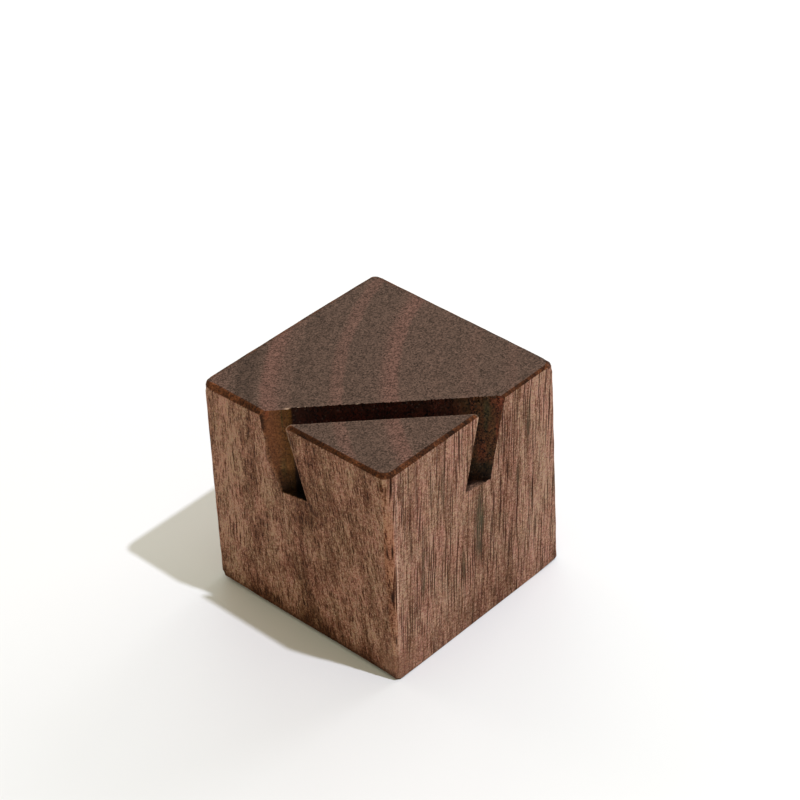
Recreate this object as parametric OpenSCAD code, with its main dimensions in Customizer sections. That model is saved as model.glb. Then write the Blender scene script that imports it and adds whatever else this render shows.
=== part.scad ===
// Place card holder: a walnut cube with one leaning slot sawn across its front corner

/* [Block] */
// Width of the block, square to its grain
block_w = 30; // [26:0.5:60]
// Depth of the block, square to its grain
block_d = 30; // [26:0.5:60]
// Height of the block, along its grain
block_h = 30; // [20:0.5:60]

/* [Card slot] */
// Width of the saw cut between its walls
slot_w = 3.1; // [1:0.1:4]
// Depth of the slot below the top, at the middle of its floor
slot_depth = 10; // [5:0.5:14]
// Lean of the slot from upright in degrees, with its foot towards the front corner
slot_lean = 12; // [0:1:20]
// Top edge of the nose in front of the slot, from the front corner to the slot
nose_leg = 16; // [10:0.5:19]

/* [Eased edges] */
// Ease sanded along the top edges
top_ease = 0.5; // [0.2:0.05:1.5]
// Ease sanded along the bottom edges
foot_ease = 0.4; // [0.2:0.05:1.5]
// Ease on the upright edge at the front corner
front_ease = 1.2; // [0.3:0.1:2.5]
// Ease on the other three upright edges
corner_ease = 0.7; // [0.3:0.1:2.5]

/* [Hidden] */

// A corner's distance from the upright axis, before it is eased
corner_reach = (block_w + block_d) / 2 / sqrt(2);
// How far an ease pulls a corner in towards the axis
front_cut = front_ease / sqrt(2);
corner_cut = corner_ease / sqrt(2);
// Longer than the block across its corners, for the sides' stock and the saw's path
through = 2 * corner_reach + block_w;
// The slot's wall from the front lip down to the floor
slot_wall = (slot_depth - slot_w / 2 * sin(slot_lean)) / cos(slot_lean);
// Way from the front corner straight back to the slot's front lip
nose_depth = nose_leg / sqrt(2);
// Ways that the front corner and the other three upright corners face, in degrees
front_way = -45;
other_ways = [45, 135, 225];
// Direction from the front corner to the back corner
back_way = front_way + 180;

// Stock that reaches out to one side of the block, with that side's top and bottom edges eased
module eased_side(way, reach) {
    rotate([0, 0, way])
        rotate([90, 0, 0])
            linear_extrude(height = through, center = true)
                polygon([
                    [-through, 0],
                    [reach - foot_ease, 0],
                    [reach, foot_ease],
                    [reach, block_h - top_ease],
                    [reach - top_ease, block_h],
                    [-through, block_h]
                ]);
}

// Cube with all its edges eased: two pairs of faces, then a slice off each upright corner
module eased_cube() {
    intersection() {
        intersection_for (way = [0, 180]) eased_side(way, block_w / 2);
        intersection_for (way = [90, 270]) eased_side(way, block_d / 2);
        intersection_for (way = other_ways) eased_side(way, corner_reach - corner_cut);
        eased_side(front_way, corner_reach - front_cut);
    }
}

// Path of the tilted saw blade, from above the top down to the square floor of the slot
module saw_path() {
    translate([block_w / 2, -block_d / 2, block_h])
        rotate([0, 0, back_way])
            translate([nose_depth, 0, 0])
                rotate([0, slot_lean, 0])
                    translate([0, -through / 2, -slot_wall])
                        cube([slot_w, through, slot_wall + block_h]);
}

// The whole holder, which is one piece of solid walnut
module walnut_block() {
    color("#6a4836")
        difference() {
            eased_cube();
            saw_path();
        }
}

walnut_block();
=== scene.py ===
# %% [markdown]
# # A place card holder of black walnut
#
# The real object is one small cube of walnut, 30 mm a side, with the end grain on top. A saw cut leans
# across its front corner, and a card stands in it. There is nothing else: no second piece, no metal and
# no glue. So the whole lesson is about one piece of wood: how its edges were eased, how the saw left its
# cut, and how the growth rings on top turn into long pores on one side and short flecks on the other.
#
# All sizes below are millimetres, and one factor turns them to Blender's metres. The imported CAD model
# comes first, because everything has to fit it.

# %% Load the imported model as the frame
import math

import bmesh
import bpy
import numpy as np
from mathutils import Matrix, Vector, noise


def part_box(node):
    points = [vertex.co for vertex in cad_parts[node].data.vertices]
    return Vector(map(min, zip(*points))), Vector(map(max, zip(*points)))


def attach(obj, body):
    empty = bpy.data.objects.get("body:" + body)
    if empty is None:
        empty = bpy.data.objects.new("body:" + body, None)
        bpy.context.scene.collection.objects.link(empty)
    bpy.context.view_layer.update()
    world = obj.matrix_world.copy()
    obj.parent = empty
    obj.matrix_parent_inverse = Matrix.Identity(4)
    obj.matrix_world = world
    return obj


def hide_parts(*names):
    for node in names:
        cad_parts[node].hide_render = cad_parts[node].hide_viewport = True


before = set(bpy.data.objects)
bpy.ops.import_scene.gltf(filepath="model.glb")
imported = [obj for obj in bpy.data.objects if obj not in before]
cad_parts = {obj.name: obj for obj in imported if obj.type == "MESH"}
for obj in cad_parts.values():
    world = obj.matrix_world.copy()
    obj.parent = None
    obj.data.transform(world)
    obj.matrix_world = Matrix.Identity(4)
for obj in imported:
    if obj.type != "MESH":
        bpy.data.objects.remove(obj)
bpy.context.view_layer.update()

MM = 0.001
low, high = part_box("walnut_block")
SIDE = (high - low) / MM
HALF = SIDE.x / 2
TOP = SIDE.z
print("block of", [round(length, 2) for length in SIDE], "mm")

# %% [markdown]
# ## Camera
#
# The photograph looks down on the front corner with a long lens from about 29 cm. The block's own edges
# gave the place: a cube of 30 mm was turned until its corners fell on the corners in the picture. The
# camera is rolled by three degrees, which is why the upright edges lean to the left.

# %% Camera
AZIMUTH, ELEVATION, ROLL = 44.113, 35.847, -2.699
CAMERA_AT = Vector((159.162, -161.059, 189.052))
LENS, SENSOR = 106.256, 36.0
NEAREST, FARTHEST = 10, 20000

camera_data = bpy.data.cameras.new("photo_camera")
camera_data.sensor_width = SENSOR
camera_data.lens = LENS
camera_data.clip_start = NEAREST * MM
camera_data.clip_end = FARTHEST * MM
camera = bpy.data.objects.new("photo_camera", camera_data)
bpy.context.scene.collection.objects.link(camera)
camera.matrix_world = (
    Matrix.Translation(CAMERA_AT * MM)
    @ Matrix.Rotation(math.radians(AZIMUTH), 4, "Z")
    @ Matrix.Rotation(math.radians(90 - ELEVATION), 4, "X")
    @ Matrix.Rotation(math.radians(ROLL), 4, "Z")
)
bpy.context.scene.camera = camera
print("camera", round(CAMERA_AT.length), "mm from the block")

# %% [markdown]
# ## Light
#
# The shadows on the table tell where the lamps stood. One small lamp stands high on the right and throws
# the long shadow to the left. The pale part of that shadow is filled by a wide soft light behind the
# block, and the dark part, close to the front left side, is filled only by the warm room. So there are
# three sources: the lamp, three soft panels in an arc behind, and a warm world. Area lights are used,
# and their power is worked out from the brightness that they give a white surface, so that they can be
# moved without changing the picture.

# %% Lamp, soft panels and room
def area_light(name, azimuth, elevation, distance, size, brightness, colour):
    """A round lamp in that direction, as bright on a white surface that faces it as the number says."""
    turn, rise = math.radians(azimuth), math.radians(elevation)
    way = Vector((math.sin(turn) * math.cos(rise), -math.cos(turn) * math.cos(rise), math.sin(rise)))
    lamp = bpy.data.lights.new(name, "AREA")
    lamp.shape = "DISK"
    lamp.size = size * MM
    lamp.color = colour
    lamp.energy = brightness * (math.pi * distance * MM) ** 2
    placed = bpy.data.objects.new(name, lamp)
    bpy.context.scene.collection.objects.link(placed)
    placed.location = way * distance * MM
    placed.rotation_mode = "QUATERNION"
    placed.rotation_quaternion = way.to_track_quat("Z", "Y")
    placed.visible_camera = False


LIGHTS = (
    ("key_lamp", 105.7, 66.1, 900, 25, 0.610, (0.96, 0.99, 1.14)),
    ("back_panel", 180, 25, 700, 510, 0.395, (0.99, 0.99, 1.05)),
    ("back_left_panel", 225, 25, 700, 510, 0.225, (0.90, 1.02, 1.06)),
    ("left_panel", 270, 25, 700, 510, 0.155, (1.12, 0.93, 0.96)),
)
for name, azimuth, elevation, distance, size, brightness, colour in LIGHTS:
    area_light(name, azimuth, elevation, distance, size, brightness, colour)
    print(name, "at azimuth", azimuth, "elevation", elevation)

ROOM = (0.466, 0.445, 0.319)
world = bpy.data.worlds.new("warm_room")
world.use_nodes = True
world.node_tree.nodes["Background"].inputs["Color"].default_value = (*ROOM, 1)
bpy.context.scene.world = world
bpy.context.scene.view_settings.view_transform = "Standard"

# %% [markdown]
# ## Colours and nodes
#
# Colours are written as hex, as a picture editor shows them, and Blender wants them linear. Every
# material is built from the same small function, which adds one node, sets it and links it.

# %% Helpers for materials
def linear(hex_colour):
    """Turns #rrggbb, as seen on a screen, to Blender's linear colour."""
    shares = [int(hex_colour[i:i + 2], 16) / 255 for i in (1, 3, 5)]
    return [c / 12.92 if c <= 0.04045 else ((c + 0.055) / 1.055) ** 2.4 for c in shares] + [1]


def add(tree, kind, settings=(), inputs=()):
    """Adds a node, sets its properties and ramp stops, and gives each input a value or a link.

    A range's two ends are given as a pair, "From" or "To".
    """
    made = tree.nodes.new("ShaderNode" + kind)
    for name, value in dict(settings).items():
        if name != "stops":
            setattr(made, name, value)
            continue
        ramp = made.color_ramp.elements
        while len(ramp) < len(value):
            ramp.new(1)
        for stop, (place, colour) in zip(ramp, value):
            stop.position = place
            stop.color = linear(colour) if isinstance(colour, str) else (colour, colour, colour, 1)
    live = [socket for socket in made.inputs if socket.enabled]
    values = {}
    for name, value in dict(inputs).items():
        if name in ("From", "To"):
            values[name + " Min"], values[name + " Max"] = value
        else:
            values[name] = value
    for name, value in values.items():
        socket = live[name] if isinstance(name, int) else next(s for s in live if s.name == name)
        if isinstance(value, bpy.types.Node):
            value = next(out for out in value.outputs if out.enabled)
        if isinstance(value, bpy.types.NodeSocket):
            tree.links.new(value, socket)
        else:
            socket.default_value = value
    return made


# Settings that many nodes share: a range with soft ends, what a mix mixes, and sums
SOFT = {"interpolation_type": "SMOOTHSTEP"}
COLOURS, VECTORS = {"data_type": "RGBA"}, {"data_type": "VECTOR"}
TIMES, TIMES_PLUS = {"operation": "MULTIPLY"}, {"operation": "MULTIPLY_ADD"}
PLUS, MINUS, OVER = {"operation": "ADD"}, {"operation": "SUBTRACT"}, {"operation": "DIVIDE"}
SCALED, ALONG = {"operation": "SCALE"}, {"operation": "DOT_PRODUCT"}


def new_material(name):
    """An empty material and its node tree, with a Principled shader wired to the output."""
    material = bpy.data.materials.new(name)
    material.use_nodes = True
    shader = material.node_tree.nodes["Principled BSDF"]
    return material, material.node_tree, shader


# %% [markdown]
# ## Floor
#
# The block stands on a sheet of matt white card, lit so brightly that it is almost blank in the picture.

# %% Floor
FLOOR_SIDE, FLOOR_COLOUR = 3000, (0.82, 0.82, 0.82, 1)
bpy.ops.object.select_all(action="DESELECT")
bpy.ops.mesh.primitive_plane_add(size=FLOOR_SIDE * MM, location=(0, 0, 0))
floor = bpy.context.object
floor.name = "white_card_floor"
floor_material, tree, shader = new_material("matt_white_card")
shader.inputs["Base Color"].default_value = FLOOR_COLOUR
shader.inputs["Roughness"].default_value = 1.0
shader.inputs["Specular IOR Level"].default_value = 0.0
floor.data.materials.append(floor_material)
print("floor", FLOOR_SIDE, "mm wide")

# %% [markdown]
# ## The blank
#
# A square stick of walnut is planed, sawn to length, and its twelve arrises are taken off with
# sandpaper. In Blender that is a cube whose edges are bevelled in groups: the front upright edge is the
# widest, the other three are narrower, and the ends get the least. Edges are picked by where they lie,
# so one small function does all the picking.

# %% Helpers for modelling
BEVEL_STEPS, BEVEL_PROFILE = 4, 0.38


def start_box(name, size, centre):
    """Adds a box of that size at that place, with its object left at the origin."""
    bpy.ops.object.select_all(action="DESELECT")
    bpy.ops.mesh.primitive_cube_add(size=1, location=Vector(centre) * MM, scale=Vector(size) * MM)
    piece = bpy.context.object
    piece.name = name
    bpy.ops.object.transform_apply(location=True, rotation=True, scale=True)
    return piece


def pick_edges(piece, wanted):
    """In edit mode, selects only the edges whose two ends, in mm, pass the test."""
    bpy.ops.mesh.select_mode(type="EDGE")
    bpy.ops.mesh.select_all(action="DESELECT")
    mesh = bmesh.from_edit_mesh(piece.data)
    for edge in mesh.edges:
        edge.select = wanted(edge.verts[0].co / MM, edge.verts[1].co / MM)
    mesh.select_flush_mode()
    bmesh.update_edit_mesh(piece.data)


def bevel(width):
    """Bevels the selected edges to that width, nearly flat, as sandpaper on a block leaves them."""
    bpy.ops.mesh.bevel(
        offset_type="OFFSET", offset=width * MM, segments=BEVEL_STEPS, profile=BEVEL_PROFILE, affect="EDGES",
    )


# %% Cube with bevelled arrises
TOUCH = 0.01
FRONT_EASE, CORNER_EASE, TOP_EASE, FOOT_EASE = 1.0, 0.65, 0.5, 0.4


def is_upright(a, b):
    """Whether an edge is one of the four long upright ones."""
    return abs(a.z - b.z) > HALF and min(abs(a.x), abs(a.y)) > HALF - TOUCH


def is_front(a, b):
    """Whether it is the one at the front corner."""
    return a.x > 0 > a.y and is_upright(a, b)


block = start_box("card_block", SIDE, (0, 0, TOP / 2))
bpy.ops.object.mode_set(mode="EDIT")
pick_edges(block, is_front)
bevel(FRONT_EASE)
pick_edges(block, is_upright)
bevel(CORNER_EASE)
pick_edges(block, lambda a, b: min(a.z, b.z) > TOP - TOUCH)
bevel(TOP_EASE)
pick_edges(block, lambda a, b: max(a.z, b.z) < TOUCH)
bevel(FOOT_EASE)
print("bevelled cube of", len(bmesh.from_edit_mesh(block.data).faces), "faces")

# %% [markdown]
# ## Uneven eases
#
# Sandpaper in the hand never takes off the same width twice. The photograph shows it: the ease on the
# front upright edge moves from one face to the other as it goes down, and the ease along the top is
# twice as wide at the left as at the right. So the long edges are cut into short lengths, and each point
# of an ease slides in its own face, by widths that are read off the photograph, plus a little noise. The
# flat faces stay flat, and the grid that the cutting left on them is dissolved again. The stick wasn't
# planed quite square either: one top corner lies half a millimetre inside a true cube on two sides, and
# others a tenth or two. So each corner pulls the points near it along.

# %% Cut the long edges, and clear the flat sides
LENGTHS = 90
# A face or an edge counts as lying along an axis when it does so by this share
FLAT = 0.999

pick_edges(block, lambda a, b: (a - b).length > HALF)
bpy.ops.mesh.subdivide(number_cuts=LENGTHS)
bpy.ops.mesh.select_mode(type="FACE")
bpy.ops.mesh.select_all(action="DESELECT")
mesh = bmesh.from_edit_mesh(block.data)
for face in mesh.faces:
    face.select = max(abs(face.normal.x), abs(face.normal.y)) > FLAT
bmesh.update_edit_mesh(block.data)
bpy.ops.mesh.dissolve_faces(use_verts=False)
bpy.ops.object.mode_set(mode="OBJECT")
print("blank of", len(block.data.polygons), "faces")

# %% Slide the eases to their real widths
X, Y, Z = 0, 1, 2
EASE_FADE = 0.8
WANDER, WANDER_PITCH, WANDER_SEEDS = 0.12, 2.4, (7.3, 5.1)
# The line that an arris runs along, and the two sides that it joins; the width of its bevel; then places
# along it, with the real width on each of the two sides
EASES = {
    (Z, 1, -1): (FRONT_EASE, (
        (0, 0.40, 0.55), (6, 0.59, 0.64), (12, 1.09, 0.75), (18, 1.20, 0.84), (24, 0.86, 1.05),
        (30, 1.28, 1.24),
    )),
    (Z, -1, -1): (CORNER_EASE, (
        (0, 1.9, 1.9), (0.45, 1.3, 1.3), (0.95, 0.70, 0.70), (22, 0.70, 0.70), (28.6, 0.80, 0.80),
        (29.4, 1.15, 1.15), (30, 0.50, 0.50),
    )),
    (Z, 1, 1): (CORNER_EASE, ((0, 0.78, 0.78), (5, 0.64, 0.64), (29.4, 0.62, 0.60), (30, 0.75, 0.75))),
    (Z, -1, 1): (CORNER_EASE, ((0, 0.62, 0.66), (26, 0.84, 0.84), (30, 1.00, 1.00))),
    (X, -1, 1): (TOP_EASE, (
        (-15, 0.66, 0.86), (-10, 0.62, 0.76), (-6, 0.61, 0.64), (-1, 0.53, 0.57), (3, 0.48, 0.50),
        (15, 0.55, 0.48),
    )),
    (Y, 1, 1): (TOP_EASE, (
        (-15, 0.58, 0.49), (-5, 0.54, 0.45), (1, 0.44, 0.41), (5, 0.38, 0.33), (14.2, 0.40, 0.35),
        (15, 0.55, 0.50),
    )),
    (X, 1, 1): (TOP_EASE, (
        (-15, 0.52, 0.52), (6, 0.54, 0.54), (12.5, 0.62, 0.63), (13.5, 0.67, 0.69), (14.35, 1.05, 1.05),
        (15, 1.9, 1.9),
    )),
    (Y, -1, 1): (TOP_EASE, ((-15, 0.62, 0.40), (-13, 0.42, 0.38), (4, 0.43, 0.41), (15, 0.62, 0.60))),
    (X, -1, -1): (FOOT_EASE, (
        (-15, 1.05, 1.00), (-13, 0.80, 0.78), (0, 0.66, 0.66), (9, 0.66, 0.66), (15, 0.56, 0.52),
    )),
    (Y, 1, -1): (FOOT_EASE, ((-15, 0.26, 0.22), (-9, 0.10, 0.10), (11, 0.10, 0.10), (15, 0.42, 0.42))),
    (X, 1, -1): (FOOT_EASE, ((-15, 0.40, 0.36), (15, 0.34, 0.40))),
    (Y, -1, -1): (FOOT_EASE, ((-15, 0.38, 0.40), (15, 0.36, 0.34))),
}


def slid(point):
    """Where a point of the blank goes when the eases that it lies on get their real widths."""
    gaps = [HALF - abs(point.x), HALF - abs(point.y), min(point.z, TOP - point.z)]
    signs = [math.copysign(1, point.x), math.copysign(1, point.y), 1 if point.z > TOP / 2 else -1]
    powers, holds = [0.0, 0.0, 0.0], [0.0, 0.0, 0.0]
    for line in (X, Y, Z):
        first, second = [side for side in (X, Y, Z) if side != line]
        bevelled, rows = EASES[line, signs[first], signs[second]]
        hold = min(1.0, 1 - (max(gaps[first], gaps[second]) - bevelled) / EASE_FADE)
        if hold <= 0:
            continue
        places, first_widths, second_widths = zip(*rows)
        first_seed, second_seed = WANDER_SEEDS[0] * signs[first], WANDER_SEEDS[1] * signs[second] + line
        ripple = 1 + WANDER * noise.noise((point[line] / WANDER_PITCH, first_seed, second_seed))
        for side, widths in ((first, first_widths), (second, second_widths)):
            share = np.interp(point[line], places, widths) / bevelled * ripple
            powers[side] += hold * math.log(share)
            holds[side] += hold
    new_gaps = [gap * math.exp(power / max(1.0, held)) for gap, power, held in zip(gaps, powers, holds)]
    new_z = TOP - new_gaps[Z] if signs[Z] > 0 else new_gaps[Z]
    return Vector((signs[X] * (HALF - new_gaps[X]), signs[Y] * (HALF - new_gaps[Y]), new_z))


print(len(EASES), "eases of uneven width")

# %% Pull the corners in, and move every point
# How far a corner of the real block lies from a perfect cube's: its side along X, Y and Z, then the
# three distances
UNTRUE = {
    (-1, -1, 1): (0.19, 0.10, -0.09), (-1, 1, 1): (0.08, 0, 0), (1, -1, 1): (-0.22, 0, 0),
    (1, 1, 1): (-0.44, -0.54, -0.10), (1, 1, -1): (-0.08, -0.06, 0),
}


def untrue(point):
    """Pulls a point along with the corners near it: a stick planed by hand is never quite square."""
    shares = (point.x / HALF, point.y / HALF, point.z / HALF - 1)
    moved = point.copy()
    for signs, distances in UNTRUE.items():
        weight = math.prod((1 + sign * share) / 2 for sign, share in zip(signs, shares))
        moved += Vector(distances) * weight
    return moved


for vertex in block.data.vertices:
    vertex.co = untrue(slid(vertex.co / MM)) * MM
widths = [row[1] for _, rows in EASES.values() for row in rows]
print("eases from", min(widths), "to", max(widths), "mm wide")

# %% [markdown]
# ## The saw cut
#
# The card stands in a cut 3.1 mm wide, and a tenth wider where fibres tore out of its walls. It leans
# back by 12 degrees and crosses the front corner at 45 degrees, or nearly so: the saw ran off its line
# by a fifth of one. On the bench it is one pass over a tilted blade. The blade left its marks: the front
# lip is clean, and along the back lip each tooth broke out small bundles of fibre, because there it left
# the end grain. So the saw's path is made as a piece of its own, roughened as the wood is, and taken out
# of the block with a Boolean, which carries the roughness into the lips. The path is fine where it
# shows, and finest near the top. At its left end the back wall is bare wood: near the lip it stands a
# quarter of a millimetre proud of the scorched part, and lower down a bundle of fibre broke out of its
# outside edge.

# %% Path of the saw
SLOT_WIDTH, SLOT_DEPTH, NOSE_LEG = 3.18, 10.0, 16.12
SLOT_ACROSS = 135.2
SLOT_LEAN = math.radians(12)
WALL = (SLOT_DEPTH - SLOT_WIDTH / 2 * math.sin(SLOT_LEAN)) / math.cos(SLOT_LEAN)
PATH_LONG, PATH_ABOVE = 34.0, 3.0
LIP_BAND = (-1.2, 0.4)
# Beyond every height
FAR = 99

path_to_block = (
    Matrix.Translation((HALF, -HALF, TOP))
    @ Matrix.Rotation(math.radians(SLOT_ACROSS), 4, "Z")
    @ Matrix.Translation((NOSE_LEG / math.sqrt(2), 0, 0))
    @ Matrix.Rotation(SLOT_LEAN, 4, "Y")
)


def runs_along(line, lowest=-FAR, highest=FAR):
    """A test for edges that run along that line, with their middle between two heights."""
    def test(a, b):
        way = b - a
        return abs(way[line]) > FLAT * way.length and lowest <= (a.z + b.z) / 2 <= highest
    return test


path_size = (SLOT_WIDTH, PATH_LONG, WALL + PATH_ABOVE)
path = start_box("saw_path", path_size, (SLOT_WIDTH / 2, 0, (PATH_ABOVE - WALL) / 2))
bpy.ops.object.mode_set(mode="EDIT")
for level in LIP_BAND:
    bpy.ops.mesh.select_all(action="SELECT")
    bpy.ops.mesh.bisect(plane_co=(0, 0, level * MM), plane_no=(0, 0, 1))
for test, cuts in (
    (runs_along(Y), 15),
    (runs_along(Y), 15),
    (runs_along(Z, *LIP_BAND), 11),
    (runs_along(Z, -FAR, LIP_BAND[0]), 34),
    (runs_along(X), 16),
):
    pick_edges(path, test)
    bpy.ops.mesh.subdivide(number_cuts=cuts)
bpy.ops.object.mode_set(mode="OBJECT")
print("saw path of", len(path.data.polygons), "faces")

# %% Roughen the path as the saw left the wood
CHIP_PITCH, CHIP_DEEP, CHIP_HIGH = 0.42, 0.24, 0.22
# How far chips stray along the lip and how often, how rare large ones are, and their least height
CHIP_STRAY, STRAYS, CHIP_RARITY, CHIP_LEAST = 0.6, 1.7, 1.6, 0.4
BACK_SEED, FRONT_SEED, FRONT_CHIPS = 3.0, 11.0, 0.25
FIBRE_ROUGH, FIBRES_ALONG, FIBRES_DOWN = 0.035, 2.6, 0.35
# Lumps per millimetre of the floor, seed, and height in mm
FLOOR_LUMPS = ((2.2, 4.0, 0.16), (6.0, 9.0, 0.096))
FLOOR_LOWER = 0.16 / 3
# Heights between which fibre broke out of the back wall's left edge, how far in, and how deep
BREAK_FROM, BREAK_TO, BREAK_WIDE, BREAK_DEEP = 21.0, 26.5, 0.45, 0.3
# Where the bare end of the back wall starts along the cut, how fast, from which height, and how proud
STEP_AT, STEP_WIDE, STEP_FROM, STEP_PROUD = -14.8, 0.5, 27.6, 0.28


def clamped(share):
    """The share, held between nothing and all."""
    return max(0.0, min(1.0, share))


def chip(along, down, seed):
    """How deep a tooth broke the lip, at a distance along it and down from it."""
    place = along / CHIP_PITCH + CHIP_STRAY * noise.noise((along * STRAYS, seed, 0.0))
    size = noise.cell((math.floor(place), seed, 0.0))
    tooth = 1 - abs(2 * (place - math.floor(place)) - 1)
    low_down = max(0.0, 1 - down / (CHIP_HIGH * (CHIP_LEAST + abs(size))))
    return CHIP_DEEP * abs(size) ** CHIP_RARITY * tooth * low_down


def roughened(point):
    """Where a point of the saw's path goes, in the path's own millimetres."""
    here = path_to_block @ point
    down = max(0.0, -point.z)
    moved = point.copy()
    fibre = noise.noise((point.y * FIBRES_ALONG, down * FIBRES_DOWN, point.x))
    if point.x > SLOT_WIDTH - TOUCH:
        near_left = max(0.0, 1 - (here.y + HALF) / BREAK_WIDE)
        broken = near_left * math.sin(math.pi * clamped((here.z - BREAK_FROM) / (BREAK_TO - BREAK_FROM)))
        bare = clamped((STEP_AT - here.x - here.y) / STEP_WIDE)
        step = bare * clamped((here.z - STEP_FROM) / (TOP - STEP_FROM))
        moved.x += FIBRE_ROUGH * fibre + chip(point.y, down, BACK_SEED) * (1 - bare)
        moved.x += BREAK_DEEP * broken - STEP_PROUD * step
    elif point.x < TOUCH:
        moved.x -= FIBRE_ROUGH * fibre + FRONT_CHIPS * chip(point.y, down, FRONT_SEED)
    if point.z < TOUCH - WALL:
        moved.z -= FLOOR_LOWER
        for lumps, seed, rough in FLOOR_LUMPS:
            moved.z += rough * noise.noise((point.x * lumps, point.y * lumps, seed))
    return path_to_block @ moved


for vertex in path.data.vertices:
    vertex.co = roughened(vertex.co / MM) * MM
path.data.update()
print("chips up to", CHIP_DEEP, "mm deep, bare end of the back wall", STEP_PROUD, "mm proud")

# %% Cut the slot
sanded = bpy.data.materials.new("sanded_marker")
sawn = bpy.data.materials.new("sawn_marker")
block.data.materials.append(sanded)
path.data.materials.append(sawn)
bpy.ops.object.select_all(action="DESELECT")
block.select_set(True)
bpy.context.view_layer.objects.active = block
cut = block.modifiers.new("saw_cut", "BOOLEAN")
cut.operation = "DIFFERENCE"
cut.solver = "EXACT"
cut.material_mode = "TRANSFER"
cut.object = path
bpy.ops.object.modifier_apply(modifier="saw_cut")
bpy.data.objects.remove(path)
print("cut block of", len(block.data.polygons), "faces, materials", [m.name for m in block.data.materials])

# %% [markdown]
# ## Clean mesh, and what each face remembers
#
# The two stand-in materials have done their work once the Boolean has passed them on: they tell which
# faces the saw made. That becomes an attribute of the faces, because one piece of walnut is one
# material. A second attribute keeps the direction that the surface faces, softly round the eases, so
# that the wood can look different on its end, its quarter side and its flat side.

# %% Merge, close and smooth
MERGE = 0.004
SMOOTH_BELOW = math.radians(38)

bpy.ops.object.mode_set(mode="EDIT")
bpy.ops.mesh.select_all(action="SELECT")
bpy.ops.mesh.remove_doubles(threshold=MERGE * MM)
bpy.ops.mesh.dissolve_degenerate(threshold=MERGE * MM / 4)
bpy.ops.mesh.select_all(action="SELECT")
bpy.ops.mesh.normals_make_consistent(inside=False)
bpy.ops.object.mode_set(mode="OBJECT")
saw_made = [float(polygon.material_index) for polygon in block.data.polygons]
sawn_faces = block.data.attributes.new("sawn", "FLOAT", "FACE")
sawn_faces.data.foreach_set("value", saw_made)
block.data.materials.clear()
bpy.data.materials.remove(sanded)
bpy.data.materials.remove(sawn)

bpy.ops.object.shade_smooth_by_angle(angle=SMOOTH_BELOW)
weighted = block.modifiers.new("level_faces", "WEIGHTED_NORMAL")
weighted.keep_sharp = True
bpy.ops.object.modifier_apply(modifier="level_faces")
facing_corners = block.data.attributes.new("facing", "FLOAT_VECTOR", "CORNER")
smooth_ways = [part for corner in block.data.corner_normals for part in corner.vector]
facing_corners.data.foreach_set("vector", smooth_ways)
print("block of", len(block.data.polygons), "faces,", int(sum(saw_made)), "of them sawn")

# %% [markdown]
# ## Black walnut: where in the wood
#
# Wood has three directions, and it looks different along each. The grain stands upright in this block.
# So the top and bottom are end grain, the faces across X are nearly quarter sawn and show the pores as
# long lines, and the faces across Y are flat sawn and show them as short dark flecks. The grain also
# leans: on the X faces by four degrees, and on the Y faces by up to ten degrees towards the front, as
# the photograph shows. All patterns read the block's own millimetres, pulled along by those leans.

# %% Places in the wood
X_LEAN = 0.07
Y_LEANS = (-0.02, 0.12)
# Between which places along X the lean grows
Y_LEANS_OVER = (-10, 4)
WAVE, WAVE_PITCH = 0.5, 6.0

walnut, tree, shader = new_material("sanded_black_walnut")
in_metres = add(tree, "TexCoord").outputs["Object"]
place = add(tree, "VectorMath", SCALED, {0: in_metres, "Scale": 1 / MM})
x_place, y_place, z_place = add(tree, "SeparateXYZ", (), {0: place}).outputs
depth = add(tree, "Math", MINUS, {0: TOP, 1: z_place})

wave_place = add(tree, "VectorMath", SCALED, {0: place, "Scale": 1 / WAVE_PITCH})
wave = add(tree, "TexNoise", (), {"Vector": wave_place, "Scale": 1.0, "Detail": 1.0})
wave_way = add(tree, "VectorMath", MINUS, {0: wave.outputs["Color"], 1: (0.5, 0.5, 0.5)})
waved = add(tree, "VectorMath", TIMES_PLUS, {0: wave_way, 1: (WAVE, WAVE, 0), 2: place})
x_waved, y_waved, _ = add(tree, "SeparateXYZ", (), {0: waved}).outputs

y_grain = add(tree, "Math", TIMES_PLUS, {0: depth, 1: X_LEAN, 2: y_waved})
x_lean = add(tree, "MapRange", (), {
    "Value": x_place, "From": Y_LEANS_OVER, "To": (-Y_LEANS[0], -Y_LEANS[1]),
})
x_grain = add(tree, "Math", TIMES_PLUS, {0: depth, 1: x_lean, 2: x_waved})
quarter_place = add(tree, "CombineXYZ", (), {0: y_grain, 1: z_place, 2: x_place})
flat_place = add(tree, "CombineXYZ", (), {0: x_grain, 1: z_place, 2: y_place})
print("grain leans by", X_LEAN, "on the X faces and", Y_LEANS, "on the Y faces")

# %% Directions that a point faces
# Between these shares of facing upwards, or along X more than Y, one kind of grain turns to another
END_FACING, QUARTER_FACING = (0.55, 0.9), (-0.35, 0.35)
facing = add(tree, "Attribute", {"attribute_name": "facing"}).outputs["Vector"]
facing_parts = add(tree, "VectorMath", {"operation": "ABSOLUTE"}, {0: facing})
faces_x, faces_y, faces_z = add(tree, "SeparateXYZ", (), {0: facing_parts}).outputs
is_end = add(tree, "MapRange", SOFT, {"Value": faces_z, "From": END_FACING})
x_over_y = add(tree, "Math", MINUS, {0: faces_x, 1: faces_y})
is_quarter = add(tree, "MapRange", SOFT, {"Value": x_over_y, "From": QUARTER_FACING})
is_sawn = add(tree, "Attribute", {"attribute_name": "sawn"}).outputs["Fac"]
print("end grain between", END_FACING, "of facing upwards")

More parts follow.
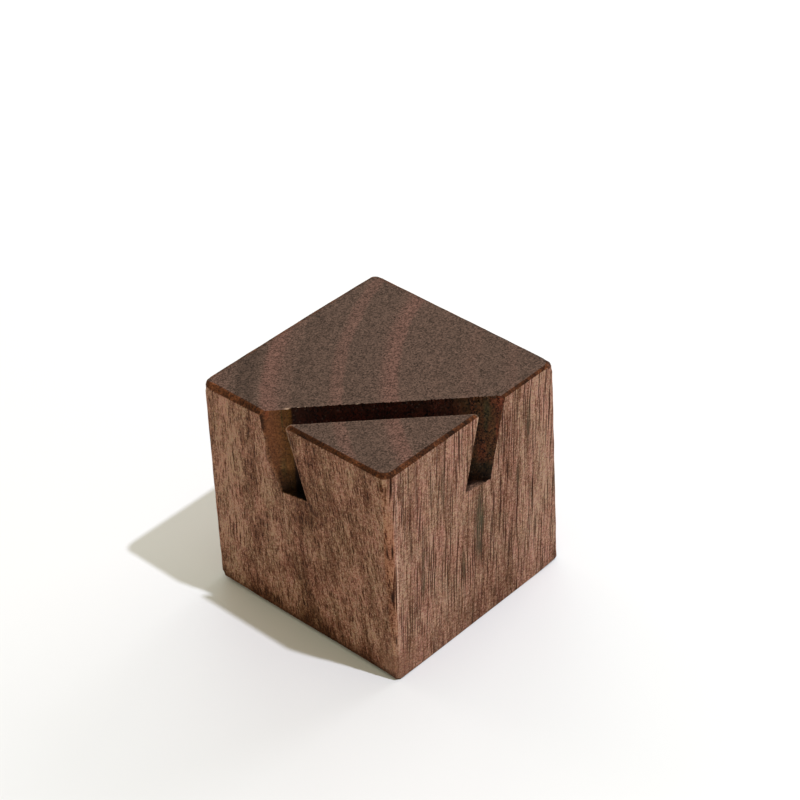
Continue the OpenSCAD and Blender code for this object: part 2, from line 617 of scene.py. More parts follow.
# %% [markdown]
# ## Pores and fibre
#
# A pore of walnut is a tube a tenth or two of a millimetre wide. Where it is cut along its length it
# shows as a dark line some millimetres long, and where it dips into the wood only as a short fleck. Both
# come from one recipe: stretched cells, each with a dark spindle of its own width in its middle. Between
# the pores the wood is a fine salt and pepper of cut fibres. The real ones are finer than a pixel, so
# the speckle is drawn 0.15 mm wide.

# %% Recipe for pores, and the speckle of cut fibres
SPECKLE = (0.15, 0.15, 0.18)


def pores(source, cell, thin, thick):
    """One dark spindle in each cell of that width and length in mm; its width is a share of the cell's."""
    shrunk = add(tree, "VectorMath", OVER, {0: source, 1: (*cell, 1)})
    cells = add(tree, "TexVoronoi", {"voronoi_dimensions": "2D"}, {"Vector": shrunk, "Scale": 1.0})
    size = add(tree, "MapRange", (), {"Value": cells.outputs["Color"], "To": (thin, thick)})
    near = add(tree, "Math", OVER, {0: cells, 1: size})
    return add(tree, "MapRange", SOFT, {"Value": near, "From": (1.0, 0.45)})


def marks(source, table):
    """Sum of soft spindles: middle across and up, half-widths across and up, and strength of each."""
    total = 0.0
    for across, up, half_across, half_up, strength in table:
        away = add(tree, "VectorMath", MINUS, {0: source, 1: (across, up, 0)})
        shrunk = add(tree, "VectorMath", OVER, {0: away, 1: (half_across, half_up, 1e6)})
        spread = add(tree, "VectorMath", {"operation": "LENGTH"}, {0: shrunk}).outputs["Value"]
        mark = add(tree, "MapRange", SOFT, {"Value": spread, "From": (1.2, 0.2), "To Max": strength})
        total = add(tree, "Math", PLUS, {0: mark, 1: total})
    return total


speckle_place = add(tree, "VectorMath", OVER, {0: place, 1: SPECKLE})
speckle_cells = add(tree, "TexVoronoi", (), {"Vector": speckle_place, "Scale": 1.0})
speckle = speckle_cells.outputs["Color"]
print("speckle of", SPECKLE, "mm")

# %% [markdown]
# ## Quarter sides: long lines
#
# A coarse set and a fine set of long pores make these sides, over faint fibre and broad pale and dark
# streaks. A few grey streaks stand where the photograph has them.

# %% Long pores, fibre and streaks
# Sizes in mm: across, along, and into the wood for fibre and streaks as well
LONG_PORES, FINE_PORES = (0.32, 15), (0.20, 5)
FIBRE_SIZE, STREAK_SIZE = (0.17, 4, 1), (0.9, 9, 2)
long_pores = pores(quarter_place, LONG_PORES, 0.10, 0.38)
fine_pores = pores(quarter_place, FINE_PORES, 0.14, 0.46)
fibre_place = add(tree, "VectorMath", OVER, {0: quarter_place, 1: FIBRE_SIZE})
fibre = add(tree, "TexNoise", (), {"Vector": fibre_place, "Scale": 1.0, "Detail": 2.0})
streak_place = add(tree, "VectorMath", OVER, {0: quarter_place, 1: STREAK_SIZE})
streaks = add(tree, "TexNoise", (), {"Vector": streak_place, "Scale": 1.0, "Detail": 2.0})
print("long pores in cells of", LONG_PORES, "and", FINE_PORES, "mm")

# %% Grey streaks on the quarter sides
# Middle across and up on the side, half-widths across and up, and strength
GREY_STREAKS = (
    (0.3, 14.0, 0.9, 6.0, 1.0), (-9.6, 13, 0.4, 4.5, 0.9), (-5.8, 23.5, 0.4, 5, 0.6),
    (9.5, 24, 0.5, 4.5, 0.5), (7.3, 17.5, 0.4, 3, 0.4), (-2.8, 9.5, 0.3, 4.5, 0.6), (14.3, 14, 0.3, 6, 0.7),
)
streak_table = [(y + X_LEAN * (TOP - z), z, *rest) for y, z, *rest in GREY_STREAKS]
grey_streaks = marks(quarter_place, streak_table)
# A streak is no even stain: it follows the fibres
grey_fibres = add(tree, "MapRange", (), {"Value": fibre, "From": (0.6, 0.45), "To Min": 0.3})
for share in (grey_fibres, is_quarter):
    grey_streaks = add(tree, "Math", TIMES, {0: grey_streaks, 1: share})
print(len(GREY_STREAKS), "grey streaks")

# %% Tone of the quarter sides
# Places across the side, and how light the wood is there
QUARTER_TONES = (
    (-15, 0.89), (-13, 0.87), (-10.5, 0.74), (-7.5, 0.83), (-5, 0.77), (-2, 0.82), (0.5, 0.72), (3, 0.71),
    (7, 0.65), (10, 0.85), (13, 0.90), (15, 0.82),
)
quarter_share = add(tree, "MapRange", (), {"Value": y_grain, "From": (-HALF, HALF)})
quarter_stops = [((where + HALF) / SIDE.y, tone) for where, tone in QUARTER_TONES]
quarter = add(tree, "ValToRGB", {"stops": quarter_stops}, {0: quarter_share})
# The foot is darker with a painted shade, and a band at two thirds of the height is darker as well
QUARTER_FOOT_SHADE = 8.0
quarter_foot_shade = add(tree, "MapRange", SOFT, {"Value": z_place, "From": (QUARTER_FOOT_SHADE, 0)})
quarter_bands = marks(quarter_place, ((-5, 19.5, 9, 2.2, 1.0),))
for source, middle, weight in (
    (streaks, 0.5, 0.6), (fibre, 0.5, 1.1), (long_pores, 0, -1.4), (fine_pores, 0, -0.45),
    (grey_streaks, 0, -0.4), (speckle, 0.5, 0.65), (quarter_foot_shade, 0, -0.15), (quarter_bands, 0, -0.06),
):
    swing = add(tree, "Math", MINUS, {0: source, 1: middle})
    quarter = add(tree, "Math", TIMES_PLUS, {0: swing, 1: weight, 2: quarter})
print(len(QUARTER_TONES), "tones across a quarter side")

# %% [markdown]
# ## Flat sides: short flecks
#
# On these sides the pores dip into the wood at a small angle, so each one shows only as a short fuzzy
# fleck. They crowd together in blotches a few millimetres wide, and near the foot a painted shade
# darkens the wood.

# %% Short flecks and blotches
# Sizes in mm: across, along, and into the wood for clouds and blotches
FLECKS, FINE_FLECKS, LEFT_PORES = (0.26, 2.2), (0.15, 0.8), (0.5, 11)
CLOUD_SIZE, BLOTCH_SIZE = (0.38, 3.4, 0.38), (1.6, 5.0, 1.6)
flecks = pores(flat_place, FLECKS, 0.10, 0.46)
fine_flecks = pores(flat_place, FINE_FLECKS, 0.15, 0.50)
cloud_place = add(tree, "VectorMath", OVER, {0: flat_place, 1: CLOUD_SIZE})
clouds = add(tree, "TexNoise", (), {"Vector": cloud_place, "Scale": 1.0, "Detail": 2.0, "Roughness": 0.6})
blotch_place = add(tree, "VectorMath", OVER, {0: flat_place, 1: BLOTCH_SIZE})
blotches = add(tree, "TexNoise", (), {"Vector": blotch_place, "Scale": 1.0, "Detail": 2.0})
# Towards the left edge the cut comes nearer to quarter sawn, and a few long pores show there as well
NEAR_LEFT = (-6, -11)
left_share = add(tree, "MapRange", (), {"Value": x_place, "From": NEAR_LEFT})
left_pores = pores(flat_place, LEFT_PORES, 0.06, 0.24)
left_pores = add(tree, "Math", TIMES, {0: left_pores, 1: left_share})
print("flecks in cells of", FLECKS, "and", FINE_FLECKS, "mm")

# %% Tone of the flat sides
FLAT_TONES = (
    (-15, 0.78), (-13, 0.90), (-11, 0.96), (-8.5, 0.73), (-7, 0.68), (-5, 0.84), (-2, 0.76), (0.5, 0.56),
    (4, 0.69), (7, 0.80), (10, 0.68), (13, 0.79), (15, 0.82),
)
# Painted shade: the flat sides grow darker towards the foot, by this much, from this height down
FOOT_SHADE, FOOT_SHADE_UP_TO = -0.4, 4.5
flat_share = add(tree, "MapRange", (), {"Value": x_place, "From": (-HALF, HALF)})
flat_stops = [((where + HALF) / SIDE.x, tone) for where, tone in FLAT_TONES]
flat = add(tree, "ValToRGB", {"stops": flat_stops}, {0: flat_share})
foot_shade = add(tree, "MapRange", SOFT, {"Value": z_place, "From": (FOOT_SHADE_UP_TO, 0)})
# A pale place and a dark one near the left edge
left_places = marks(flat_place, ((-10.5, 18.0, 4.5, 3.6, 1.0), (-10.5, 4.6, 4.5, 2.0, -0.6)))
for source, middle, weight in (
    (blotches, 0.5, 1.05), (clouds, 0.5, 0.9), (flecks, 0, -0.55), (fine_flecks, 0, -0.25),
    (left_pores, 0, -0.8), (speckle, 0.5, 0.65), (foot_shade, 0, FOOT_SHADE), (left_places, 0, 0.10),
):
    swing = add(tree, "Math", MINUS, {0: source, 1: middle})
    flat = add(tree, "Math", TIMES_PLUS, {0: swing, 1: weight, 2: flat})
print(len(FLAT_TONES), "tones across a flat side")

# %% Colour of all four sides
SIDE_RAMP = ((0.0, "#361a08"), (0.25, "#55331c"), (0.5, "#714d3b"), (0.75, "#906856"), (1.0, "#ac8673"))
side_tone = add(tree, "Mix", (), {"Factor": is_quarter, "A": flat, "B": quarter})
# The foot of the front corner shows hardly any pores: places towards that corner, and heights
PLAIN_CORNER, PLAIN_FOOT = (18.6, 20.0), (4.8, 3.0)
FRONTWARDS, ALONG_SLOT = (0.7071, -0.7071, 0), (0.7071, 0.7071, 0)
to_front = add(tree, "VectorMath", ALONG, {0: place, 1: FRONTWARDS})
near_corner = add(tree, "MapRange", (), {
    "Value": to_front.outputs["Value"], "From": PLAIN_CORNER, "To Max": 0.8,
})
near_foot = add(tree, "MapRange", (), {"Value": z_place, "From": PLAIN_FOOT})
is_plain = add(tree, "Math", TIMES, {0: near_corner, 1: near_foot})
plain = add(tree, "Math", TIMES_PLUS, {0: speckle, 1: 0.35, 2: 0.46})
side_tone = add(tree, "Mix", (), {"Factor": is_plain, "A": side_tone, "B": plain})
side_colour = add(tree, "ValToRGB", {"stops": SIDE_RAMP}, {0: side_tone})
side_colour = add(tree, "Mix", COLOURS, {"Factor": grey_streaks, "A": side_colour, "B": linear("#463f2e")})
print("hardly any pores below", PLAIN_FOOT[1], "mm at the front corner")

# %% Pink and olive in the heartwood
# Its colour wanders between the two in patches a few millimetres wide, and a little from fibre to fibre
PINKISH, OLIVE = (1.05, 0.975, 0.985), (0.965, 1.015, 0.96)
PATCH = (2.2, 2.2, 5.0)
GRAIN_TINT = 0.16
# The flat sides are a little warmer all over
FLAT_TINT = (1.02, 0.99, 0.93)
patch_place = add(tree, "VectorMath", OVER, {0: place, 1: PATCH})
patches = add(tree, "TexNoise", (), {"Vector": patch_place, "Scale": 1.0, "Detail": 2.0})
patch_share = add(tree, "MapRange", (), {"Value": patches, "From": (0.35, 0.65)})
tint = add(tree, "Mix", VECTORS, {"Factor": patch_share, "A": PINKISH, "B": OLIVE})
grain_tint = add(tree, "VectorMath", TIMES_PLUS, {
    0: speckle, 1: (GRAIN_TINT,) * 3, 2: (1 - GRAIN_TINT / 2,) * 3,
})
tint = add(tree, "VectorMath", TIMES, {0: tint, 1: grain_tint})
flat_tint = add(tree, "Mix", VECTORS, {"Factor": is_quarter, "A": FLAT_TINT, "B": (1, 1, 1)})
tint = add(tree, "VectorMath", TIMES, {0: tint, 1: flat_tint})
side_colour = add(tree, "VectorMath", TIMES, {0: side_colour, 1: tint})
print("patches of", PATCH, "mm")

# %% [markdown]
# ## End grain: growth rings
#
# The rings are arcs round a tree's middle that lies far behind the right corner of the block. Walnut's
# rings show as pinkish bands between greyer ones, each band crisp on its inner side and fading outwards.
# The tones were set ring by ring. The ends drink in light, so they are darker than the sides,
# and only a fine speckle is left of the pores.

# %% Rings and end grain
HEART = (41, 33)
FIRST_RING, LAST_RING = 31, 74
RING_TONES = (
    (31, 0.4), (36.3, 0.35), (37, 0.52), (39.3, 0.3), (41, 0.36), (42, 0.48), (44.5, 0.3), (46, 0.4),
    (48, 0.36), (50.3, 0.40), (50.7, 0.85), (51.5, 0.92), (52.2, 0.7), (52.8, 0.42), (54, 0.32),
    (56.5, 0.28), (57.0, 0.70), (58.0, 0.68), (58.6, 0.32), (60.5, 0.3), (62.3, 0.2), (62.9, 0.42),
    (64, 0.5), (65, 0.88), (66.1, 0.92), (66.7, 0.35), (67.7, 0.04), (69.2, 0.1), (70, 0.40),
    (71.5, 0.58), (74, 0.5),
)
RING_WANDER, RING_PITCH = 0.8, 1.1
ring_stops = [((ring - FIRST_RING) / (LAST_RING - FIRST_RING), tone) for ring, tone in RING_TONES]
ring_place = add(tree, "CombineXYZ", (), {0: x_grain, 1: y_grain})
heart = add(tree, "VectorMath", {"operation": "DISTANCE"}, {0: ring_place, 1: (*HEART, 0)})
from_heart = heart.outputs["Value"]
edge_place = add(tree, "VectorMath", SCALED, {0: ring_place, "Scale": 1 / RING_PITCH})
ragged = add(tree, "TexNoise", (), {"Vector": edge_place, "Scale": 1.0, "Detail": 3.0, "Roughness": 0.65})
ring = add(tree, "Math", TIMES_PLUS, {0: ragged, 1: RING_WANDER, 2: from_heart})
ring_share = add(tree, "MapRange", (), {
    "Value": ring, "From": (FIRST_RING + RING_WANDER / 2, LAST_RING + RING_WANDER / 2),
})
rings = add(tree, "ValToRGB", {"stops": ring_stops}, {0: ring_share})
print(len(RING_TONES), "ring tones between", FIRST_RING, "and", LAST_RING, "mm from the heart")

# %% Dots and pits of the end grain
# One cell in a few holds a pale dot of filled pore
DOT_CELL = 0.6
dot_place = add(tree, "VectorMath", SCALED, {0: place, "Scale": 1 / DOT_CELL})
dot_cells = add(tree, "TexVoronoi", (), {"Vector": dot_place, "Scale": 1.0})
dots = add(tree, "MapRange", SOFT, {"Value": dot_cells, "From": (0.24, 0.1)})
END_RAMP = ((0.0, "#403128"), (0.35, "#4e3c32"), (1.0, "#5f4339"))
end_colour = add(tree, "ValToRGB", {"stops": END_RAMP}, {0: rings})
# Its pits are a warmer brown than the fibre between them
PIT, FIBRE_END = (0.18, 0.16, 0.10), (1.98, 2.00, 2.04)
coarse_tone = add(tree, "Math", MINUS, {0: ragged, 1: 0.5})
end_share = add(tree, "Math", TIMES_PLUS, {0: coarse_tone, 1: 0.35, 2: speckle})
end_share = add(tree, "Math", TIMES_PLUS, {0: dots, 1: 0.35, 2: end_share})
speckle_tone = add(tree, "Mix", VECTORS, {"Factor": end_share, "A": PIT, "B": FIBRE_END})
end_colour = add(tree, "VectorMath", TIMES, {0: end_colour, 1: speckle_tone})
wood_colour = add(tree, "Mix", COLOURS, {"Factor": is_end, "A": side_colour, "B": end_colour})
print("a dot in some cells of", DOT_CELL, "mm")

# %% [markdown]
# ## Eases
#
# Sanding across the end grain burnishes it: the eases round the top and the foot are dark and reddish,
# in patches, and a thin dark rim is left on the flat of the top along its back edges. The front upright
# ease runs along the grain. Its middle came out a warm orange, and at both ends it is like the sides
# beside it.

# %% Where the wood is burnished, and where a painted shade darkens the foot
# Shares of facing upwards between which an ease begins, and between which the flat top does
TILTED, LEVEL = (0.12, 0.3), (0.96, 0.995)
is_tilted = add(tree, "MapRange", (), {"Value": faces_z, "From": TILTED})
is_level = add(tree, "MapRange", (), {"Value": faces_z, "From": LEVEL})
not_level = add(tree, "Math", MINUS, {0: 1.0, 1: is_level})
not_sawn = add(tree, "Math", MINUS, {0: 1.0, 1: is_sawn})
burnish_and_shade_mask = add(tree, "Math", TIMES, {0: is_tilted, 1: not_level})
# The sandpaper also darkened the rim of the top along the back, and a painted contact shade darkens the foot
# of the flat sides
BACK_RIM, FOOT_SHADE_RIM = (0.92, 0.60), (1.35, 0.80)
from_left = add(tree, "Math", PLUS, {0: x_place, 1: HALF})
from_back = add(tree, "Math", MINUS, {0: HALF, 1: y_place})
to_back_rim = add(tree, "Math", {"operation": "MINIMUM"}, {0: from_left, 1: from_back})
on_back_rim = add(tree, "MapRange", (), {"Value": to_back_rim, "From": BACK_RIM, "To Max": 0.6})
on_back_rim = add(tree, "Math", TIMES, {0: on_back_rim, 1: is_end})
on_foot_shade_rim = add(tree, "MapRange", (), {"Value": z_place, "From": FOOT_SHADE_RIM, "To Max": 0.7})
is_flat = add(tree, "Math", MINUS, {0: 1.0, 1: is_quarter})
on_foot_shade_rim = add(tree, "Math", TIMES, {0: on_foot_shade_rim, 1: is_flat})
for rim in (on_back_rim, on_foot_shade_rim):
    burnish_and_shade_mask = add(tree, "Math", {"operation": "MAXIMUM"}, {0: burnish_and_shade_mask, 1: rim})
BURNISH_PITCH, BURNISH_RANGE = 1.6, (0.36, 0.66)
burnish_place = add(tree, "VectorMath", SCALED, {0: place, "Scale": 1 / BURNISH_PITCH})
burnish = add(tree, "TexNoise", (), {"Vector": burnish_place, "Scale": 1.0, "Detail": 3.0, "Roughness": 0.7})
burnish_share = add(tree, "MapRange", (), {"Value": burnish, "From": BURNISH_RANGE})
print("burnished in patches of", BURNISH_PITCH, "mm")

# %% Colour of the burnished wood, also used for the painted shade at the foot
# Along the front left its tone follows the photograph, and the noise only adds to it
EASE_TONES = (
    (-15, 0.64), (-12, 0.84), (-10, 0.82), (-8.5, 0.68), (-6.5, 0.62), (-1.6, 0.70), (0, 0.70), (1.5, 0.42),
    (3, 0.32), (5, 0.54), (8, 0.46), (10, 0.64), (11.5, 0.26), (13, 0.36), (15, 0.48),
)
EASE_SWING = 0.5
BURNISH_AND_SHADE_RAMP = ((0.0, "#220f02"), (0.5, "#3e200d"), (1.0, "#613820"))
ease_stops = [((where + HALF) / SIDE.x, tone - EASE_SWING / 2) for where, tone in EASE_TONES]
ease_tone = add(tree, "ValToRGB", {"stops": ease_stops}, {0: flat_share})
ease_tone = add(tree, "Math", TIMES_PLUS, {0: burnish_share, 1: EASE_SWING, 2: ease_tone})
ease_tone = add(tree, "Mix", (), {"Factor": is_quarter, "A": ease_tone, "B": burnish_share})
burnished = add(tree, "ValToRGB", {"stops": BURNISH_AND_SHADE_RAMP}, {0: ease_tone})
burnished = add(tree, "VectorMath", TIMES, {0: burnished, 1: speckle_tone})
# The same dark colour also paints the contact shade along the foot of the flat sides
wood_colour = add(tree, "Mix", COLOURS, {"Factor": burnish_and_shade_mask, "A": wood_colour, "B": burnished})
print(len(EASE_TONES), "tones along the front left ease")

# %% Warm middle of the front ease
# How far up the ease is warm, and how much
WARMTH = (
    (0, 0.0), (3, 0.1), (7, 0.35), (10, 0.55), (13, 0.25), (16, 0.65), (22, 0.7), (25, 0.25), (30, 0.15),
)
WARM_RAMP = ((0.0, "#4c2615"), (0.5, "#855039"), (1.0, "#a97254"))
FRONT_FACING = (0.73, 0.86)
front_way = add(tree, "VectorMath", ALONG, {0: facing, 1: FRONTWARDS})
is_front_ease = add(tree, "MapRange", SOFT, {"Value": front_way.outputs["Value"], "From": FRONT_FACING})
up_share = add(tree, "Math", OVER, {0: z_place, 1: TOP})
warm_stops = [(height / TOP, tone) for height, tone in WARMTH]
warmth = add(tree, "ValToRGB", {"stops": warm_stops}, {0: up_share})
is_warm = is_front_ease
for share in (warmth, not_sawn):
    is_warm = add(tree, "Math", TIMES, {0: is_warm, 1: share})
warm_tone = add(tree, "MapRange", (), {"Value": side_tone, "From": (0.2, 0.9)})
warm_colour = add(tree, "ValToRGB", {"stops": WARM_RAMP}, {0: warm_tone})
wood_colour = add(tree, "Mix", COLOURS, {"Factor": is_warm, "A": wood_colour, "B": warm_colour})
print(len(WARMTH), "heights on the front ease")

# %% Marks on the front ease
# Pores that the ease cut open, placed across it and up it, and a painted highlight on the ridge at its right
FRONT_PORES = (
    (0.4, 28.2, 0.17, 1.6, 1.0), (-0.42, 19.2, 0.14, 1.3, 0.9), (0.19, 19.2, 0.16, 1.4, 1.0),
    (-0.08, 12.6, 0.24, 1.2, 1.0), (0.12, 6.1, 0.14, 1.0, 0.9), (-0.2, 6.8, 0.12, 0.7, 0.6),
)
RIDGE_LEAN = 0.023
RIDGE_HIGHLIGHTS = ((0.28, 14, 0.15, 9, 1.0), (0.33, 25, 0.12, 4, 0.6))
across_ease = add(tree, "VectorMath", ALONG, {0: place, 1: ALONG_SLOT})
ease_place = add(tree, "CombineXYZ", (), {0: across_ease.outputs["Value"], 1: z_place})
opened = add(tree, "Math", TIMES, {0: marks(ease_place, FRONT_PORES), 1: is_front_ease})
wood_colour = add(tree, "Mix", COLOURS, {"Factor": opened, "A": wood_colour, "B": linear("#2a1408")})
straightened = add(tree, "Math", TIMES_PLUS, {0: z_place, 1: -RIDGE_LEAN, 2: across_ease.outputs["Value"]})
ridge_place = add(tree, "CombineXYZ", (), {0: straightened, 1: z_place})
ridge_highlight = marks(ridge_place, RIDGE_HIGHLIGHTS)
for share in (near_corner, speckle):
    ridge_highlight = add(tree, "Math", TIMES, {0: ridge_highlight, 1: share})
# The ridge's painted highlight is a pale pink colour
wood_colour = add(tree, "Mix", COLOURS, {"Factor": ridge_highlight, "A": wood_colour, "B": linear("#e0b8a2")})
print(len(FRONT_PORES), "pores and", len(RIDGE_HIGHLIGHTS), "lengths of ridge on the front ease")

# %% [markdown]
# ## Saw marks
#
# The walls of the cut are nearly black in the middle. Towards the
# left side the dark ends in a sharp line, and bare brown wood follows. Lower down on that end, the
# last tenths of a millimetre are pale broken fibre.
# shows them: they tint the wood and leave its speckle to be seen, as a smooth patch of colour would look
# painted on.

# %% Colour along the cut
SAW_COLOURS = (
    (-21, "#70442b"), (-18, "#673e26"), (-15.1, "#5a3a1a"), (-14.7, "#220e08"), (-8, "#220a04"),
    (0, "#230b06"), (11, "#2a130b"), (15, "#3a2414"), (18, "#432a1a"), (21, "#4a2a1c"),
)
# X plus Y measures places along the cut: its two ends, and where each kind of end starts
REACH = 21
LEFT_END, RIGHT_END = (-12, -14), (12, 14)
along_cut = add(tree, "Math", PLUS, {0: x_place, 1: y_place})
cut_share = add(tree, "MapRange", (), {"Value": along_cut, "From": (-REACH, REACH)})
saw_stops = [((where + REACH) / (2 * REACH), colour) for where, colour in SAW_COLOURS]
saw_colour = add(tree, "ValToRGB", {"stops": saw_stops}, {0: cut_share})
is_left_end = add(tree, "MapRange", (), {"Value": along_cut, "From": LEFT_END})
is_right_end = add(tree, "MapRange", (), {"Value": along_cut, "From": RIGHT_END})
print(len(SAW_COLOURS), "colours along the cut")

# %% How dark the scorch is, and the painted shade deep in the cut
# What speckle and ragged noise add up to, and the tones that it gives to scorched and to bare wood; then
# the depths between which a painted shade darkens both, and by how much
CHAR_RANGE, SCORCHED_TONES, BARE_TONES = (0.55, 1.45), (0.1, 1.9), (0.5, 1.5)
CUT_SHADE_DEPTHS, CUT_SHADE_TONES = (7.3, 9.7), (1.0, 0.25)
char = add(tree, "Math", PLUS, {0: speckle, 1: ragged})
OPEN = {"clamp": False}
scorched_tone = add(tree, "MapRange", OPEN, {"Value": char, "From": CHAR_RANGE, "To": SCORCHED_TONES})
bare_tone = add(tree, "MapRange", OPEN, {"Value": char, "From": CHAR_RANGE, "To": BARE_TONES})
saw_tone = add(tree, "Mix", (), {"Factor": is_left_end, "A": scorched_tone, "B": bare_tone})
# Painted shade: the walls grow darker towards the floor of the cut
deep_cut_shade = add(tree, "MapRange", (), {"Value": depth, "From": CUT_SHADE_DEPTHS, "To": CUT_SHADE_TONES})
saw_tone = add(tree, "Math", TIMES, {0: saw_tone, 1: deep_cut_shade})
saw_colour = add(tree, "VectorMath", SCALED, {0: saw_colour, "Scale": saw_tone})
# The scorch is greenish black in places and reddish in others
CHARRED, BARE = (0.75, 0.90, 0.80), (1.35, 1.06, 1.00)
saw_tint = add(tree, "Mix", VECTORS, {"Factor": burnish_share, "A": CHARRED, "B": BARE})
saw_tint = add(tree, "Mix", VECTORS, {"Factor": is_left_end, "A": saw_tint, "B": (1, 1, 1)})
print("darker from", CUT_SHADE_DEPTHS[0], "mm down")

# %% Stains and dust on the back wall
# Place along the cut, depth, half-widths and strength of each stain that the photograph shows
GREENISH = (
    (-16.45, 1.3, 0.2, 1.8, 0.8), (-16.7, 7.4, 0.7, 1.7, 0.6), (17.0, 1.7, 0.9, 2.2, 1.0),
    (16.7, 3.8, 0.5, 0.9, 0.8), (16.9, 9.0, 2.0, 1.2, 0.6),
)
REDDISH = (
    (-18.9, 0.5, 0.45, 0.8, 0.45), (19.1, 1.0, 1.0, 1.5, 0.9), (17.9, 0.6, 0.5, 0.8, 0.7),
    (15.9, 6.7, 1.0, 1.8, 1.0), (18.6, 4.6, 0.35, 3.2, 0.8), (14.6, 1.5, 0.5, 2.5, 0.6),
)
wall_place = add(tree, "CombineXYZ", (), {0: along_cut, 1: depth})
for stains, stain in ((GREENISH, (0.50, 0.85, 0.80)), (REDDISH, (1.65, 1.10, 1.15))):
    saw_tint = add(tree, "Mix", VECTORS, {"Factor": marks(wall_place, stains), "A": saw_tint, "B": stain})
saw_colour = add(tree, "VectorMath", TIMES, {0: saw_colour, 1: saw_tint})
# A few pale specks of dust sit in the scorch
DUST = 0.08
dust = add(tree, "Math", TIMES, {0: dots, 1: DUST})
saw_colour = add(tree, "Mix", COLOURS, {"Factor": dust, "A": saw_colour, "B": linear("#8a7a6c")})
print(len(GREENISH), "greenish and", len(REDDISH), "reddish stains")

# %% Broken fibre at the outside of the cut
# Distances from the outside, and depths below the lip, between which pale fibre and a dark line show
FRESH_EDGE, FRESH_DEPTH = (0.3, 0.1), (2.5, 3.5)
BURNT_EDGE, BURNT_DEPTH = (0.45, 0.2), (3.0, 2.2)
x_side = add(tree, "Math", {"operation": "ABSOLUTE"}, {0: x_place})
y_side = add(tree, "Math", {"operation": "ABSOLUTE"}, {0: y_place})
widest = add(tree, "Math", {"operation": "MAXIMUM"}, {0: x_side, 1: y_side})
to_outside = add(tree, "Math", MINUS, {0: HALF, 1: widest})
fresh = add(tree, "MapRange", SOFT, {"Value": to_outside, "From": FRESH_EDGE, "To Max": 0.7})
below_lip = add(tree, "MapRange", (), {"Value": depth, "From": FRESH_DEPTH})
for share in (below_lip, is_left_end):
    fresh = add(tree, "Math", TIMES, {0: fresh, 1: share})
fresh_colour = add(tree, "VectorMath", TIMES, {0: speckle_tone, 1: linear("#7d5741")[:3]})
saw_colour = add(tree, "Mix", COLOURS, {"Factor": fresh, "A": saw_colour, "B": fresh_colour})

# Above it the edge is burnt in a thin dark line
burnt_edge = add(tree, "MapRange", (), {"Value": to_outside, "From": BURNT_EDGE, "To Max": 0.75})
near_lip = add(tree, "MapRange", (), {"Value": depth, "From": BURNT_DEPTH})
for share in (near_lip, is_left_end):
    burnt_edge = add(tree, "Math", TIMES, {0: burnt_edge, 1: share})
saw_colour = add(tree, "Mix", COLOURS, {"Factor": burnt_edge, "A": saw_colour, "B": linear("#1e0f08")})
print("pale fibre within", FRESH_EDGE[0], "mm of the outside")

# %% Torn fibre on the floor of the cut
# Way back from the front wall of the cut, for its floor and its lips
path_normal = path_to_block.to_3x3() @ Vector((1, 0, 0))
front_wall = path_normal.dot(path_to_block.translation)
on_normal = add(tree, "VectorMath", ALONG, {0: place, 1: path_normal})
behind_front = on_normal.outputs["Value"]

# At the right end torn fibres lie on the floor: places from the outside, and back from the front wall
TORN_EDGE, TORN_BACK, FLOOR_FACING = (1.3, 0.9), (2.9, 1.6), (0.5, 0.8)
is_floor = add(tree, "MapRange", (), {"Value": faces_z, "From": FLOOR_FACING})
floor_edge = add(tree, "MapRange", (), {"Value": to_outside, "From": TORN_EDGE, "To Max": 0.7})
beside_nose = add(tree, "MapRange", (), {
    "Value": behind_front, "From": [front_wall + back for back in TORN_BACK],
})
torn = is_floor
for share in (floor_edge, is_right_end, beside_nose):
    torn = add(tree, "Math", TIMES, {0: torn, 1: share})
torn_colour = add(tree, "VectorMath", TIMES, {0: speckle_tone, 1: linear("#785a4a")[:3]})
saw_colour = add(tree, "Mix", COLOURS, {"Factor": torn, "A": saw_colour, "B": torn_colour})
print("front wall of the cut", round(front_wall, 2), "mm back along its normal")

# %% Painted highlights on the lips
# A painted highlight, a hair wide, lies on the sanded side of both lips: at the nose's tips and down its
# edges, and in a few places along the back lip
# How wide it is and how far above the floor it stops; where the tips start and down to where it fades
LIP, FLOOR_CLEAR = 0.12, 0.5
TIP, TIP_TONES, DOWN_EDGE, EDGE_TONES = (13.2, 15.2), (0.04, 0.26), (6, 3), (0.1, 1.0)
BACK_LIP_HIGHLIGHTS = (
    (-15.5, 0, 0.6, 1, 0.4), (-13.8, 0, 0.45, 1, 1.0), (-12.4, 0, 0.3, 1, 0.9), (-9.3, 0, 0.25, 1, 0.6),
    (-4.1, 0, 0.25, 1, 0.6), (1.5, 0, 0.25, 1, 0.4), (7.0, 0, 0.2, 1, 0.5), (12.5, 0, 0.3, 1, 0.4),
)
back_wall = front_wall + SLOT_WIDTH
nose_lip_highlight = add(tree, "MapRange", (), {
    "Value": behind_front, "From": (front_wall - LIP, front_wall - LIP / 3),
})
back_lip_highlight = add(tree, "MapRange", (), {
    "Value": behind_front, "From": (back_wall + LIP, back_wall + LIP / 3),
})
in_front = add(tree, "Math", {"operation": "LESS_THAN"}, {0: behind_front, 1: front_wall + SLOT_WIDTH / 2})
behind = add(tree, "Math", MINUS, {0: 1.0, 1: in_front})
to_tip = add(tree, "Math", {"operation": "ABSOLUTE"}, {0: along_cut})
tip = add(tree, "MapRange", (), {"Value": to_tip, "From": TIP, "To": TIP_TONES})
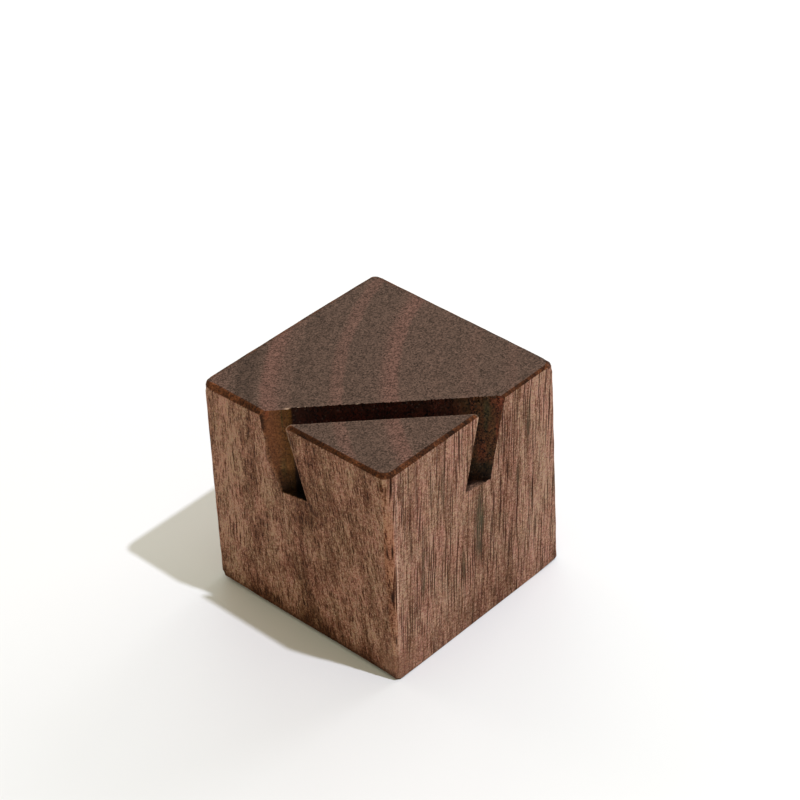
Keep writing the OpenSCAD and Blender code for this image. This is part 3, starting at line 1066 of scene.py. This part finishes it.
down_edge = add(tree, "MapRange", (), {"Value": depth, "From": DOWN_EDGE, "To": EDGE_TONES})
for share in (in_front, tip, down_edge, char):
    nose_lip_highlight = add(tree, "Math", TIMES, {0: nose_lip_highlight, 1: share})
lip_line = add(tree, "CombineXYZ", (), {0: along_cut})
for share in (behind, marks(lip_line, BACK_LIP_HIGHLIGHTS), is_end):
    back_lip_highlight = add(tree, "Math", TIMES, {0: back_lip_highlight, 1: share})
lip_highlights = add(tree, "Math", PLUS, {0: nose_lip_highlight, 1: back_lip_highlight})
in_cut = add(tree, "Math", {"operation": "LESS_THAN"}, {0: depth, 1: SLOT_DEPTH - FLOOR_CLEAR})
lip_highlights = add(tree, "Math", TIMES, {0: lip_highlights, 1: in_cut})
# The lips' painted highlights are a pale colour
wood_colour = add(tree, "Mix", COLOURS, {"Factor": lip_highlights, "A": wood_colour, "B": linear("#c9a98c")})
wood_colour = add(tree, "Mix", COLOURS, {"Factor": is_sawn, "A": wood_colour, "B": saw_colour})
print(len(BACK_LIP_HIGHLIGHTS), "pale places on the back lip")

# %% [markdown]
# ## Relief and gloss
#
# The pores are real grooves, so they are also in the relief. The block is sanded and not varnished:
# light spreads wide on it, and the open end grain is duller than the sides.

# %% Relief and gloss
RELIEF, SHINE, ROUGHNESS = 0.03, 0.08, (0.6, 0.75)
side_pores = add(tree, "Mix", (), {"Factor": is_quarter, "A": flecks, "B": long_pores})
pore_relief = add(tree, "Mix", (), {"Factor": is_end, "A": side_pores, "B": 0.0})
relief = add(tree, "Math", TIMES_PLUS, {0: pore_relief, 1: -1.0, 2: speckle})
bump = add(tree, "Bump", (), {"Strength": 1.0, "Distance": RELIEF * MM, "Height": relief})
gloss = add(tree, "MapRange", (), {"Value": is_end, "To": ROUGHNESS})
tree.links.new(wood_colour.outputs[2], shader.inputs["Base Color"])
shader.inputs["Specular IOR Level"].default_value = SHINE
tree.links.new(gloss.outputs[0], shader.inputs["Roughness"])
tree.links.new(bump.outputs[0], shader.inputs["Normal"])
block.data.materials.append(walnut)
print("walnut of", len(tree.nodes), "nodes")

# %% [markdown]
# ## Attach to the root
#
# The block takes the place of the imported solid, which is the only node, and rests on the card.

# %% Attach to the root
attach(block, "root")
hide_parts("walnut_block")
